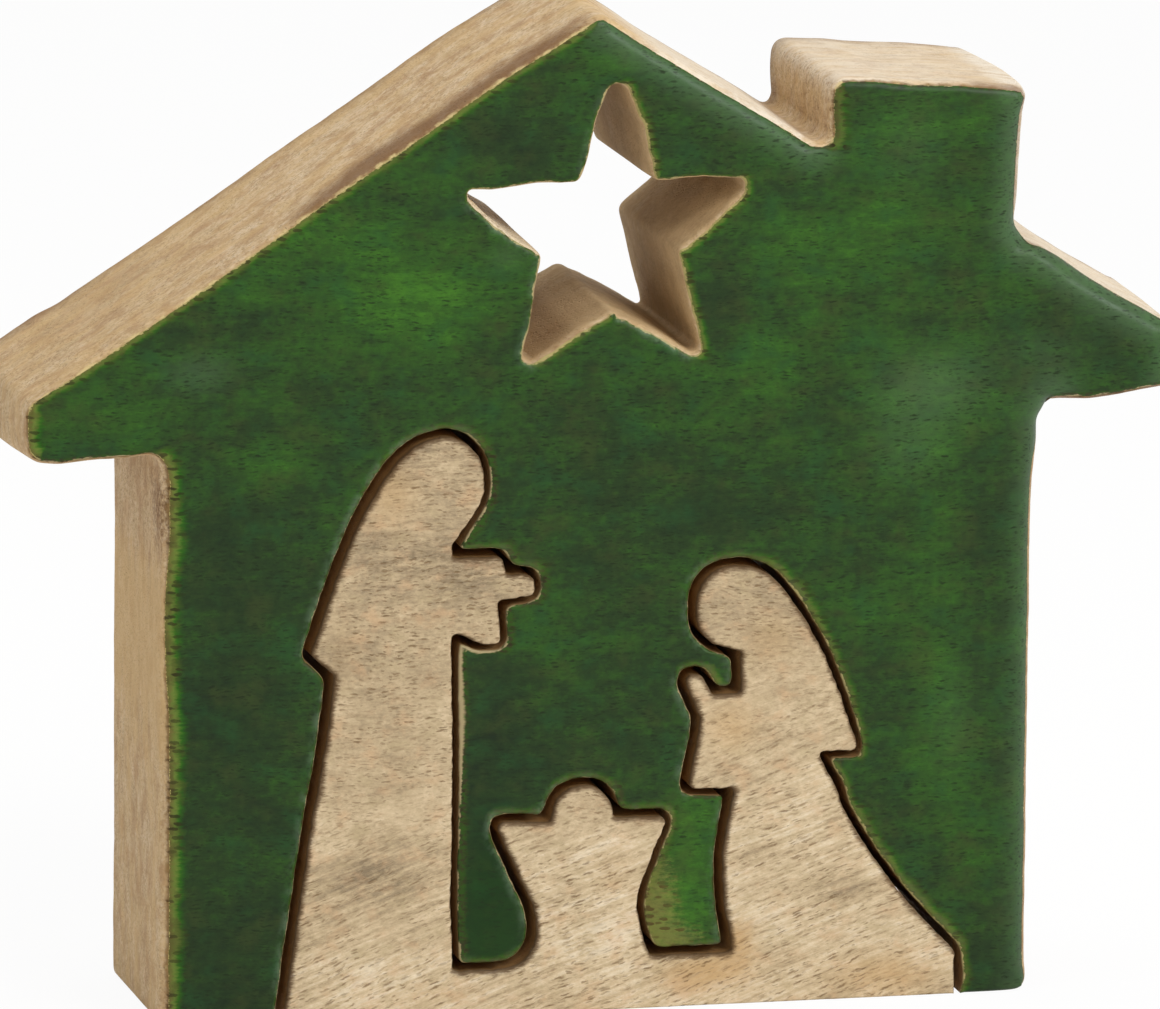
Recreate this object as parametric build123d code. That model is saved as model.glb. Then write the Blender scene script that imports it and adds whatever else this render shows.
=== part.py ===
from build123d import *
import os
from math import cos, hypot, radians, sin, tan

# A thick board sawn to the outline of a small stable with a chimney and a star-shaped window.
# The front carries a thin green coat. A natural-wood nativity group is fret-sawn from the same
# board and stands loose in its own pocket, which runs right through and is open at the floor.
# Millimetres. X runs across the front, Y from the front to the back, Z up from the floor.
# The origin is on the floor, under the middle of the board.

# Board and coat
BOARD_DEPTH = 30.0
COAT_THICKNESS = 0.3
FRONT_ROUND = 1.3
BACK_ROUND = 1.5

# Stable outline
RIDGE_HEIGHT = 124.2
RIDGE_X = -0.7
RIDGE_ROUND = 2.0
LEFT_WALL_THICKNESS = 14.1
RIGHT_WALL_THICKNESS = 8.1
LEFT_OVERHANG = 16.2
RIGHT_OVERHANG = 17.9
LEFT_EAVE_HEIGHT = 71.9
RIGHT_EAVE_HEIGHT = 75.6
LEFT_EAVE_TIP = 6.9
RIGHT_EAVE_TIP = 7.2
LEFT_EAVE_RISE = 0.8
RIGHT_EAVE_RISE = -0.8
LEFT_ROOF_BOW = 1.4
LEFT_ROOF_ROUND = 1100.0
TIP_ROUND = 1.7
LEFT_WALL_ROUND = 2.4
RIGHT_WALL_ROUND = 3.6

# Chimney on the right roof slope, with its feet sunk a little into the slope or raised off it
CHIMNEY_FROM_RIDGE = 29.0
CHIMNEY_WIDTH = 23.4
CHIMNEY_TAPER = 1.1
CHIMNEY_RISE = 9.2
CHIMNEY_FALL = 1.8
CHIMNEY_LEFT_SINK = 1.3
CHIMNEY_RIGHT_LIFT = 0.3
CHIMNEY_ROUND = 1.7
CHIMNEY_LEFT_FOOT_ROUND = 1.6
CHIMNEY_RIGHT_FOOT_ROUND = 4.0

# Star window, under the ridge
STAR_RIGHT_OF_RIDGE = 1.2
STAR_BELOW_RIDGE = 26.8
STAR_TURN = 0.2
STAR_TIP_RADII = (21.2, 18.8, 20.0, 20.3, 20.5)
STAR_TIP_LEANS = (-2.3, 1.0, -2.0, 0.6, 0.0)
STAR_NOTCH_RADII = (8.9, 8.9, 9.0, 9.7, 8.9)
STAR_TIP_ROUNDS = (1.4, 0.9, 0.9, 0.9, 0.9)
STAR_NOTCH_ROUND = 1.0
STAR_RIM_ROUND = 0.8

# Saw cut round the nativity group, which stands a little to the right and low in its pocket
KERF = 1.0
REST_RIGHT = 0.15
REST_LOW = 0.1
SAW_ROUND = 0.6

# Standing figure, facing right
STANDING_FRONT_X = -19.35
STANDING_HEIGHT = 73.2
ROBE_FRONT_LEAN = 0.6
ROBE_FOOT = 20.9
ROBE_WAIST = 14.8
CLOAK_LENGTH = 27.0
CLOAK_FLARE = 2.9
CLOAK_HEM_SLANT = 2.6
CLOAK_BULGE = 0.9
CLOAK_ROUND = 60.0
HOOD_WIDTH = 10.2
HOOD_ROUND = 6.4
FACE_REACH = 3.95
FACE_ROUND = 5.8
HEAD_LENGTH = 14.0
CHIN_SLANT = 5.8
CHIN_ROUND = 5.0
NECK_LENGTH = 1.5
SLEEVE_REACH = 6.1
CUFF_STEP = 0.6
WRIST_STEP = 2.2
HAND_REACH = 10.1
HAND_THICKNESS = 2.4
HAND_ROUND = 0.95
HAND_SLANT = 0.6
SLEEVE_DROP = 6.2
SLEEVE_HEM_RISE = 1.5
SLEEVE_HEM_FLAT = 2.4

# Manger with the infant's head above its rim
BASE_HEIGHT_LEFT = 5.6
BASE_HEIGHT_RIGHT = 6.5
MANGER_WAIST_X = -8.2
MANGER_WAIST_WIDTH = 12.0
MANGER_HEIGHT = 24.4
MANGER_RIM_X = -13.7
MANGER_RIM_WIDTH = 21.9
MANGER_LEFT_FOOT_ROUND = 4.4
MANGER_LEFT_SIDE_HEIGHT = 12.8
MANGER_LEFT_SIDE_ROUND = 9.0
MANGER_RIGHT_SIDE_HEIGHT = 13.2
MANGER_RIGHT_SIDE_ROUND = 8.7
MANGER_RIGHT_FOOT_X = 6.0
RIM_ROUND = 0.9
RIM_DIP = 0.6
INFANT_HEAD_X = -2.6
INFANT_HEAD_WIDTH = 7.6
INFANT_HEAD_HEIGHT = 4.0

# Kneeling figure, facing left
KNEELING_BACK_X = 44.85
KNEELING_HEIGHT = 55.3
KNEE_X = 16.6
KNEE_HOLLOW = 1.8
KNEE_HOLLOW_ROUND = 30.0
FOREARM_HEIGHT = 27.4
ELBOW_REACH = 6.1
ELBOW_ROUND = 0.8
WRIST_REACH = 4.5
WRIST_HEIGHT = 36.4
PRAYER_REACH = 6.8
PRAYER_HEIGHT = 41.8
PRAYER_THICKNESS = 2.4
PRAYER_ROUND = 0.95
THROAT_X = 17.2
THROAT_HEIGHT = 39.1
THROAT_SLOPE = 3.5
VEIL_FACE_X = 11.6
VEIL_FACE_LENGTH = 10.9
VEIL_JAW_RISE = 1.9
VEIL_JAW_ROUND = 4.0
VEIL_BROW_ROUND = 5.2
VEIL_CROWN_X = 20.2
VEIL_CROWN_ROUND = 8.0
VEIL_LENGTH = 23.1
VEIL_HEM_X = 32.1
VEIL_BULGE = 1.5
VEIL_ROUND = 60.0
VEIL_HEM_DEPTH = 5.1
VEIL_HEM_SLANT = 0.6
TRAIN_HEIGHT = 7.0
TRAIN_LENGTH = 1.5
TRAIN_HOLLOW = 2.6
TRAIN_ROUND = 70.0
TRAIN_END_ROUND = 1.1

ROUNDED_SHARE = 0.96
OUT_OF_THE_FRONT = (0, -1, 0)
BACK_PLANE = Plane.XZ.offset(-BOARD_DEPTH / 2)
COAT_PLANE = Plane.XZ.offset(BOARD_DEPTH / 2 - COAT_THICKNESS)


def bowed_middle(start, end, bow):
    """Point halfway between two corners, moved square to the line between them (left of it if positive)."""
    run_x = end[0] - start[0]
    run_z = end[1] - start[1]
    length = hypot(run_x, run_z)
    middle_x = (start[0] + end[0]) / 2 - bow * run_z / length
    middle_z = (start[1] + end[1]) / 2 + bow * run_x / length
    return middle_x, middle_z


def fitted_radii(corners):
    """Rounding radius of each corner, made smaller where two roundings meet on a short side."""
    points = [Vector(across, up) for across, up, _ in corners]
    sides = [points[index] - points[index - 1] for index in range(len(points))]
    half_turns = []
    for index, side in enumerate(sides):
        next_side = sides[(index + 1) % len(sides)]
        half_turns.append(tan(radians(side.get_angle(next_side)) / 2))
    lengths = [radius * half_turn for (_, _, radius), half_turn in zip(corners, half_turns)]
    shares = [1.0] * len(corners)
    for index, side in enumerate(sides):
        used = lengths[index - 1] + lengths[index]
        share = min(1.0, ROUNDED_SHARE * side.length / used) if used else 1.0
        shares[index - 1] = min(shares[index - 1], share)
        shares[index] = min(shares[index], share)
    return [radius * share for (_, _, radius), share in zip(corners, shares)]


def rounded_face(corners):
    """Flat face with straight sides; each corner is (across, up, radius that rounds it)."""
    points = [(across, up) for across, up, _ in corners]
    return make_face(FilletPolyline(*points, radius=fitted_radii(corners), close=True).edges())


def through_board(face, margin=0.0):
    """Solid of a flat outline through the board, past both faces by the margin."""
    start = BACK_PLANE.offset(-margin) * face
    return extrude(start, amount=BOARD_DEPTH + 2 * margin, dir=OUT_OF_THE_FRONT)


def stable_corners():
    """Outer outline of the board, from the left foot up over the roof and down to the right foot."""
    wall_left = STANDING_FRONT_X - ROBE_FOOT - KERF - REST_RIGHT - LEFT_WALL_THICKNESS
    wall_right = KNEELING_BACK_X + KERF - REST_RIGHT + RIGHT_WALL_THICKNESS
    left_tip = wall_left - LEFT_OVERHANG
    right_tip = wall_right + RIGHT_OVERHANG
    left_tip_top = (left_tip, LEFT_EAVE_HEIGHT + LEFT_EAVE_TIP)
    right_tip_top = (right_tip, RIGHT_EAVE_HEIGHT + RIGHT_EAVE_TIP)
    ridge = (RIDGE_X, RIDGE_HEIGHT)
    roof_fall = (RIDGE_HEIGHT - right_tip_top[1]) / (right_tip - RIDGE_X)
    chimney_left = RIDGE_X + CHIMNEY_FROM_RIDGE
    chimney_right = chimney_left + CHIMNEY_WIDTH
    right_foot = chimney_right - CHIMNEY_TAPER
    left_foot_height = RIDGE_HEIGHT - roof_fall * CHIMNEY_FROM_RIDGE - CHIMNEY_LEFT_SINK
    right_foot_height = RIDGE_HEIGHT - roof_fall * (right_foot - RIDGE_X) + CHIMNEY_RIGHT_LIFT
    chimney_top = left_foot_height + CHIMNEY_RISE
    return [
        (wall_left, 0, 0),
        (wall_left, LEFT_EAVE_HEIGHT + LEFT_EAVE_RISE, LEFT_WALL_ROUND),
        (left_tip, LEFT_EAVE_HEIGHT, TIP_ROUND),
        (*left_tip_top, TIP_ROUND),
        (*bowed_middle(left_tip_top, ridge, LEFT_ROOF_BOW), LEFT_ROOF_ROUND),
        (*ridge, RIDGE_ROUND),
        (chimney_left, left_foot_height, CHIMNEY_LEFT_FOOT_ROUND),
        (chimney_left, chimney_top, CHIMNEY_ROUND),
        (chimney_right, chimney_top - CHIMNEY_FALL, CHIMNEY_ROUND),
        (right_foot, right_foot_height, CHIMNEY_RIGHT_FOOT_ROUND),
        (*right_tip_top, TIP_ROUND),
        (right_tip, RIGHT_EAVE_HEIGHT, TIP_ROUND),
        (wall_right, RIGHT_EAVE_HEIGHT + RIGHT_EAVE_RISE, RIGHT_WALL_ROUND),
        (wall_right, 0, 0),
    ]


def star_point(angle, radius):
    """Point of the star at an angle in degrees and a distance from its middle."""
    middle_x = RIDGE_X + STAR_RIGHT_OF_RIDGE
    middle_z = RIDGE_HEIGHT - STAR_BELOW_RIDGE
    return middle_x + radius * cos(radians(angle)), middle_z + radius * sin(radians(angle))


def star_corners():
    """Tips and notches of the hand-sawn star in turn, clockwise from the top tip."""
    step = 360 / len(STAR_TIP_RADII)
    angle = 90 + STAR_TURN
    corners = []
    tips = zip(STAR_TIP_RADII, STAR_TIP_LEANS, STAR_TIP_ROUNDS, STAR_NOTCH_RADII)
    for tip, lean, tip_round, notch in tips:
        corners.append((*star_point(angle + lean, tip), tip_round))
        corners.append((*star_point(angle - step / 2, notch), STAR_NOTCH_ROUND))
        angle -= step
    return corners


def standing_corners():
    """Up the back of the robe and cloak, over the hood, down the face, arm, sleeve and robe front."""
    front = STANDING_FRONT_X
    crown = STANDING_HEIGHT
    robe_back = front - ROBE_WAIST
    hem = (robe_back - CLOAK_FLARE, crown - CLOAK_LENGTH)
    face = front + FACE_REACH
    hood = (face - HOOD_WIDTH, crown)
    neck = crown - HEAD_LENGTH
    arm = neck - NECK_LENGTH
    hand = arm - WRIST_STEP
    hand_under = hand - HAND_THICKNESS
    sleeve = front + SLEEVE_REACH
    sleeve_hem = hand_under - SLEEVE_DROP
    return [
        (front - ROBE_FOOT, 0, 0),
        (robe_back, hem[1] - CLOAK_HEM_SLANT, SAW_ROUND),
        (*hem, SAW_ROUND),
        (*bowed_middle(hem, hood, CLOAK_BULGE), CLOAK_ROUND),
        (*hood, HOOD_ROUND),
        (face, crown, FACE_ROUND),
        (face, neck + CHIN_SLANT, CHIN_ROUND),
        (front, neck, SAW_ROUND),
        (front, arm, SAW_ROUND),
        (sleeve, arm, SAW_ROUND),
        (sleeve + CUFF_STEP, hand, SAW_ROUND),
        (front + HAND_REACH, hand, HAND_ROUND),
        (front + HAND_REACH, hand_under, HAND_ROUND),
        (sleeve - CUFF_STEP, hand_under - HAND_SLANT, SAW_ROUND),
        (sleeve, sleeve_hem, SAW_ROUND),
        (sleeve - SLEEVE_HEM_FLAT, sleeve_hem, SAW_ROUND),
        (front + CUFF_STEP, sleeve_hem + SLEEVE_HEM_RISE, SAW_ROUND),
        (front, sleeve_hem + SLEEVE_HEM_RISE - CUFF_STEP, SAW_ROUND),
        (front + ROBE_FRONT_LEAN, BASE_HEIGHT_LEFT, SAW_ROUND),
    ]


def manger_corners():
    """Up the left side of the manger, along its rim with the infant's head, and down the right side."""
    waist_right = MANGER_WAIST_X + MANGER_WAIST_WIDTH
    rim_right = MANGER_RIM_X + MANGER_RIM_WIDTH
    head_left = INFANT_HEAD_X - INFANT_HEAD_WIDTH / 2
    head_right = INFANT_HEAD_X + INFANT_HEAD_WIDTH / 2
    head_round = INFANT_HEAD_WIDTH / 2
    head_top = MANGER_HEIGHT + INFANT_HEAD_HEIGHT
    return [
        (MANGER_WAIST_X, BASE_HEIGHT_LEFT, MANGER_LEFT_FOOT_ROUND),
        (MANGER_WAIST_X, MANGER_LEFT_SIDE_HEIGHT, MANGER_LEFT_SIDE_ROUND),
        (MANGER_RIM_X, MANGER_HEIGHT, RIM_ROUND),
        (head_left, MANGER_HEIGHT - RIM_DIP, SAW_ROUND),
        (head_left, head_top, head_round),
        (head_right, head_top, head_round),
        (head_right, MANGER_HEIGHT, SAW_ROUND),
        (rim_right, MANGER_HEIGHT, RIM_ROUND),
        (waist_right, MANGER_RIGHT_SIDE_HEIGHT, MANGER_RIGHT_SIDE_ROUND),
        (MANGER_RIGHT_FOOT_X, BASE_HEIGHT_RIGHT, SAW_ROUND),
    ]


def kneeling_corners():
    """Up the knees, forearm and folded hands, round the veiled head and down the back to the train."""
    crown = KNEELING_HEIGHT
    elbow = KNEE_X - ELBOW_REACH
    prayer = KNEE_X - PRAYER_REACH
    chin = crown - VEIL_FACE_LENGTH
    brow_end = (VEIL_CROWN_X, crown)
    hem = (VEIL_HEM_X, crown - VEIL_LENGTH)
    notch = (VEIL_HEM_X - VEIL_HEM_DEPTH, hem[1] - VEIL_HEM_SLANT)
    train = (KNEELING_BACK_X - TRAIN_LENGTH, TRAIN_HEIGHT)
    return [
        (KNEE_X, BASE_HEIGHT_RIGHT, SAW_ROUND),
        (KNEE_X - KNEE_HOLLOW, (BASE_HEIGHT_RIGHT + FOREARM_HEIGHT) / 2, KNEE_HOLLOW_ROUND),
        (KNEE_X, FOREARM_HEIGHT, SAW_ROUND),
        (elbow, FOREARM_HEIGHT, ELBOW_ROUND),
        (KNEE_X - WRIST_REACH, WRIST_HEIGHT, SAW_ROUND),
        (prayer, PRAYER_HEIGHT, PRAYER_ROUND),
        (prayer + PRAYER_THICKNESS, PRAYER_HEIGHT, PRAYER_ROUND),
        (THROAT_X - THROAT_SLOPE, THROAT_HEIGHT, SAW_ROUND),
        (THROAT_X, THROAT_HEIGHT, SAW_ROUND),
        (THROAT_X, chin, SAW_ROUND),
        (VEIL_FACE_X, chin + VEIL_JAW_RISE, VEIL_JAW_ROUND),
        (VEIL_FACE_X, crown, VEIL_BROW_ROUND),
        (*brow_end, VEIL_CROWN_ROUND),
        (*bowed_middle(brow_end, hem, VEIL_BULGE), VEIL_ROUND),
        (*hem, SAW_ROUND),
        (*notch, SAW_ROUND),
        (*bowed_middle(notch, train, -TRAIN_HOLLOW), TRAIN_ROUND),
        (*train, TRAIN_END_ROUND),
        (KNEELING_BACK_X, TRAIN_HEIGHT - TRAIN_LENGTH, TRAIN_END_ROUND),
        (KNEELING_BACK_X, 0, 0),
    ]


def make_insert_face():
    """Outline of the whole nativity group: three forms on one base strip."""
    return rounded_face(standing_corners() + manger_corners() + kneeling_corners())


def make_stable(insert_face):
    """Board with its sanded outer edges, the star window and the pocket of the nativity group."""
    board = through_board(rounded_face(stable_corners()))
    front_edges = board.edges().group_by(Axis.Y)[0].filter_by(lambda edge: edge.center().Z > FRONT_ROUND)
    board = fillet(front_edges, FRONT_ROUND)
    board = fillet(board.edges().group_by(Axis.Y)[-1], BACK_ROUND)
    plain_front_edges = board.edges().group_by(Axis.Y)[0]
    board -= through_board(rounded_face(star_corners()), margin=KERF)
    rim_edges = board.edges().group_by(Axis.Y)[0] - plain_front_edges
    board = fillet(rim_edges, STAR_RIM_ROUND)
    pocket_face = Pos(-REST_RIGHT, REST_LOW) * offset(insert_face, amount=KERF, kind=Kind.INTERSECTION)
    return board - through_board(pocket_face, margin=KERF)


def main():
    insert_face = make_insert_face()
    stable = make_stable(insert_face)
    pieces = {
        "house_block": split(stable, bisect_by=COAT_PLANE, keep=Keep.BOTTOM),
        "green_front_coat": split(stable, bisect_by=COAT_PLANE, keep=Keep.TOP),
        "nativity_insert": through_board(insert_face),
    }
    os.makedirs("parts", exist_ok=True)
    for name, piece in pieces.items():
        piece.label = name
        export_step(piece, f"parts/{name}.step")


main()
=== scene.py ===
from collections import namedtuple
from functools import reduce
from math import cos, pi, radians, sin

import bmesh
import bpy
import numpy as np
from mathutils import Matrix, Vector, kdtree, noise
from mathutils.geometry import delaunay_2d_cdt


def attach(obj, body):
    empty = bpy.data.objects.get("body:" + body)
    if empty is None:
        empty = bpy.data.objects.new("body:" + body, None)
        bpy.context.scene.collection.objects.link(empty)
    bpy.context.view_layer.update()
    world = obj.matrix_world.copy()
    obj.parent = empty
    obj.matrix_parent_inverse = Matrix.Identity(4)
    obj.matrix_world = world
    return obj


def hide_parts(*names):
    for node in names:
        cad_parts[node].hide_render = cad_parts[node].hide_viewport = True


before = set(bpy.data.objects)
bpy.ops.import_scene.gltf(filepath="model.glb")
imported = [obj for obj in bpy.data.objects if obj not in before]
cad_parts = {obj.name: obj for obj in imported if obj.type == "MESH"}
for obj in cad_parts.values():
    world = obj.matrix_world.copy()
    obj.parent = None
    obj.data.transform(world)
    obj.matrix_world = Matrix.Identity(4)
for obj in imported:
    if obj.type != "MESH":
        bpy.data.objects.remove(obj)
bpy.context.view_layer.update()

# Lengths are in mm while the meshes are made, and metres in Blender.
MM = 0.001

# Depths of the front, the back and the coat, from the CAD solids.
coat_depths, board_depths = ([round(vertex.co.y / MM, 3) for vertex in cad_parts[node].data.vertices]
                             for node in ("green_front_coat", "house_block"))
FRONT = min(coat_depths)
BACK = max(board_depths)
COAT = round(max(coat_depths) - FRONT, 3)

# Taking the outlines from the CAD sections.
STEP = 0.33
STRAIGHT_TURN = radians(0.4)
SHARP_TURN = radians(40)
FLOOR_HEIGHT = 0.02
POCKET_REACH = 1.7
FOOT_REACH = 3.0
RAGGED_FROM = 1.5

# How tight an edge rounding may get where the outline bends.
TIGHT_BEND = 3.0
FREE_ROOM = 9.0
ROOM_PER_BEND = 0.8
ROOM_PER_MM = 0.75
LEAST_RADIUS = 0.05
WIDEST_TURN = 1.2

# Rings round an edge and along a wall, and the spacing of points in a face near and far from its edges.
COAT_RINGS = 6
BEHIND_RINGS = 3
BACK_RINGS = 3
WALL_ROWS = 14
WALL_CROWDING = 1.4
FRONT_NET = (0.5, 1.1)
BACK_NET = (0.9, 1.6)
NET_BORDER = 3.0
ROW_HEIGHT = 0.866
CDT_GAP = 1e-6
POINTS_AT_ONCE = 400

# Where the hand-sawn outlines leave the drawing: x, z, reach of the shift, shift in x and z.
BOARD_SHIFTS = [
    (-67, 72, 4, -0.5, -0.9), (-60, 72.3, 4, 0, -0.8), (-70.5, 76, 4, -0.9, -0.3), (-49, 93, 16, 0.2, -0.3),
    (-12, 116.5, 11, -0.35, 0.5), (-2, 123, 5, -0.2, 0.4), (29, 112, 4, -0.5, 0), (33, 117, 5, 0, 0.45),
    (44, 116, 6, 0, 0.45), (54.5, 70.5, 5, 0.6, -0.4), (62, 75, 5, 0, -0.7), (57, 94.5, 5, 0.3, 0.6),
]
STAR_SHIFTS = [
    (6, 104.5, 4, 0, -0.8), (-4.7, 104.7, 5, 0.8, -0.6), (-14, 103.5, 4, 0, -0.6), (-9, 94.5, 3, 0.4, 0.6),
    (9, 95, 3, -0.3, 0.3), (0.6, 87.6, 3, 0, -0.6), (11, 83, 3, 0.3, 0.3), (-10, 82.5, 3, 0.2, 0.3),
    (4.5, 110, 3, 0.4, 0), (-3.5, 107, 4, 0.4, 0), (-11.5, 87, 5, 0.4, 0), (6, 82.5, 5, 0, 0.3),
    (-17.3, 100.5, 2, 0.1, 0.4),
]
# The hood, hand and veil, shared by the group and the pocket round it, so that the saw gap stays even.
GROUP_SHIFTS = [
    (-26, 73, 6, 0.7, -0.8), (-10, 52, 6, 0.35, -0.45), (32.5, 31, 4, 0.5, -0.8), (-36, 36, 9, 0.4, 0),
    (-18, 15, 9, -0.35, 0), (5, 26, 4, 0, -0.35), (10, 33, 5, 0.35, 0), (27, 46, 9, 0.3, 0.2),
    (33, 33, 2.5, -0.3, 0), (30, 28, 2.2, 0.5, 0),
]
# The pocket alone, where the saw gap is wider.
POCKET_SHIFTS = [(47, 2.5, 2.5, 0.45, 0)]

# Soft patches: middle x and z, half width, half height, amount.
CRISP_EAVE = [(-70, 80, 5, 5, 0.6)]
CRISP_STAR_ARM = [(-13, 97.5, 5, 4, 0.3)]
CHIMNEY_BULGE = [(51, 114.5, 5, 6, 1.3)]
ROBE_STRIP = [(-17.8, 38.5, 2, 8, 0.7), (-15, 45.3, 3, 1, 0.4)]
# Painted shade on the lower walls of the star.
STAR_PAINTED_SHADE = [(-8, 86, 6, 8, 0.5)]
# Painted light on the lower wall of the star's left arm.
STAR_PAINTED_LIGHT = [(-13.5, 98.5, 7, 5, 0.5)]
BRIGHT_STAIN = [
    (-24, 90, 12, 6, 1.0), (-36, 97, 11, 7, 0.5), (28, 96, 12, 6, 0.6), (41, 76, 8, 10, 0.6),
    (40, 55, 6, 12, 0.4), (44, 32, 5, 14, 0.6), (19, 80, 7, 5, 0.5), (-41, 70, 6, 4, 0.5),
    (-8, 42, 5, 9, 0.2), (38, 108, 7, 7, 0.4), (11, 22, 4, 6, 1.2), (11, 12, 4, 5, 1.2),
    (-14, 10, 3, 2, 0.6), (-62, 79, 8, 6, 0.4), (0, 117, 6, 3, 0.5), (-11, 110, 6, 4, -0.6),
    (-47, 61, 8, 4, -0.4), (-47, 40, 8, 20, -0.7), (-47, 8, 8, 9, -0.7), (2, 58, 9, 9, -0.4),
    (16, 61, 10, 5, -0.3), (14, 91, 3, 6, -0.6), (-13, 18, 6, 13, -1.0), (-14, 36, 5, 8, -0.8),
    (48, 55, 4, 15, -0.4), (60, 83, 6, 4, -0.4), (20, 113, 12, 5, -0.3), (0, 33, 8, 3, -0.5),
    (51, 5, 5, 7, -0.7),
]
# Grey-blue patches of the stain, partly dust and partly painted highlight; a negative amount gives deep
# green.
DUST_AND_HIGHLIGHT_STAIN = [
    (41, 77, 8, 5, 0.8), (38, 69, 6, 5, 0.5), (-51, 82, 5, 3, 0.7), (38, 107, 5, 6, 0.4), (44, 35, 4, 9, 0.4),
    (55, 81, 6, 3, 0.4), (-14, 13, 5, 12, -1.1), (-12.8, 95, 3, 2.2, 0.5),
]
WORN_STAIN = [(6.8, 13.5, 3, 6, 0.9), (9.5, 9, 5, 1.5, 0.6)]
PALE_WOOD = [
    (-26, 66, 5, 4, 0.3), (-16, 56, 6, 4, -0.4), (-26, 58, 6, 3, -0.2), (-29, 18, 8, 3, -0.8),
    (-32, 12, 7, 4, -0.5), (-28, 26, 7, 12, -0.3), (-25, 69, 7, 6, -0.3), (-28, 5, 10, 3, 0.3),
    (16, 50, 5, 5, 0.15), (28, 38, 5, 6, 0.5), (25, 23, 7, 5, 0.35), (29, 14, 8, 1.6, -1.0),
    (-2, 11, 5, 5, 0.4), (-8, 22, 4, 2, -0.25), (40, 2, 4, 2, -0.6),
]
WARM_WOOD = [
    (-27, 66, 4, 5, 0.6), (16, 35, 4, 4, 0.7), (21, 46, 4, 4, 0.5), (13, 4, 6, 2.5, 1.1),
    (17, 8, 2.5, 3, 1.0), (36, 3, 8, 3, 0.8), (-33, 47, 3, 5, 0.3), (1, 17, 3, 3, 0.4), (-22, 3, 6, 2, 0.3),
]

# Colours by their screen values, 0 to 255.
COLOURS = {
    "straw": (176, 158, 122), "peach": (200, 162, 124), "warm": (188, 150, 100), "fibre": (140, 117, 88),
    "pore": (110, 84, 54), "blush": (164, 130, 94), "golden": (202, 170, 120), "line": (132, 104, 72),
    # In the next line the second colour is painted light on a star wall.
    "bleached": (220, 208, 190), "pale": (250, 238, 214), "soot": (108, 74, 44), "board_tick": (66, 44, 20),
    # In the next line the first colour is scorched wood and painted shade, the last is dust and painted
    # highlight.
    "scorch": (74, 50, 26), "cool_green": (34, 74, 36), "olive": (56, 66, 30), "dusty_green": (80, 106, 72),
    "deep_green": (16, 52, 8), "green_pore": (24, 36, 14), "green_fibre": (30, 48, 20), "chip": (80, 68, 32),
    # The last colour of the next line is a painted highlight.
    "dull_edge": (46, 76, 16), "grime": (54, 50, 26), "edge_tick": (36, 24, 8), "sheen": (112, 134, 108),
    "bare_rim": (190, 168, 128), "vivid_rim": (202, 188, 118), "worn": (138, 132, 68),
    "worn_tick": (70, 52, 22), "floor": (244, 243, 241),
}
# Colours along a scale: place on it and colour.
SCALES = {
    "wood": [(0.1, (134, 118, 95)), (0.4, (182, 161, 129)), (0.62, (206, 185, 152)), (0.9, (228, 212, 186))],
    "burnt": [(0.3, (164, 138, 100)), (0.7, (208, 180, 138))],
    "board_kerf": [(0.0, (116, 86, 52)), (0.5, (190, 148, 96))],
    "group_kerf": [(0.0, (102, 74, 42)), (0.5, (178, 138, 88))],
    "spill": [(0.2, (206, 186, 132)), (0.45, (130, 100, 56)), (0.8, (62, 52, 26))],
    "green": [(0.15, (25, 39, 21)), (0.4, (36, 57, 25)), (0.62, (46, 83, 26)), (0.88, (64, 114, 30))],
    "thin_edge": [(0.0, (118, 106, 54)), (0.3, (108, 126, 52)), (0.6, (44, 98, 12)), (0.95, (24, 76, 4))],
}
CLIMB = radians(20)

# Camera of the photograph: lengths in its pixels, the offset in mm.
PHOTO_WIDTH = 1160
FOCAL = 16000.0
PIXELS_PER_MM = 8.1096
MIDDLE_HEIGHT = 506.66
CAMERA_OFFSET = (2.8, 15.0, 0)
AZIMUTH = radians(13.366)
PITCH = radians(11.706)
ROLL = radians(0.508)

# Stage in metres; lamps by name, place, size, power and colour, all aimed at one place.
FLOOR_CORNERS = [(-3, -3, 0), (3, -3, 0), (3, 3, 0), (-3, 3, 0)]
FLOOR_WHITE = 0.93
WORLD_STRENGTH = 0.42
LIT_PLACE = (0, 0, 0.06)
WHITE = (1, 1, 1, 1)
LAMPS = [
    ("key", (0.35, -0.8, 0.9), 0.6, 5.6, (1.0, 0.97, 0.93)),
    ("top", (-0.1, 0.1, 1.1), 0.7, 3.6, (1.0, 0.98, 0.95)),
    ("side", (0.73, -0.57, 0.65), 0.35, 4.2, (0.93, 0.98, 1.0)),
    ("fill", (-1.0, -0.4, 0.45), 0.6, 1.5, (1.0, 0.96, 0.90)),
]

# Edge roundings of one saw line, the depth of the coat on it, and how uneven, flared and bulged its wall is.
Edges = namedtuple("Edges", "front coat back uneven flare bulge")
# Distances to the pocket, the star, the outer outline, its right-facing runs and the edge of the coat.
Gaps = namedtuple("Gaps", "pocket star outer right coat")
# The coat at its edge: width of the thin band and of the bare rim, dark ticks, spill, vividness and the share
# of painted highlight.
Habits = namedtuple("Habits", "reach rim ticks spill vivid halo")


def smooth(values, low, high):
    """0 below low, 1 above high, with a soft S between them."""
    share = np.clip((values - low) / (high - low), 0, 1)
    return share * share * (3 - 2 * share)


def bell(values, middle, width):
    """1 in the middle, falling softly to 0 about two widths away."""
    return np.exp(-((values - middle) / width) ** 2)


def near(gaps, reach):
    """1 at a gap of 0, falling to 0 at the reach."""
    return np.clip(1 - gaps / reach, 0, 1) ** 2


def waver(points, wavelength, seed):
    """Even noise from about -1 to 1 at each point."""
    shift = Vector((seed * 17.3, seed * 5.1, seed * 9.7))
    return np.array([noise.noise(Vector((*p, 0)[:3]) / wavelength + shift) for p in points.tolist()])


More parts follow.
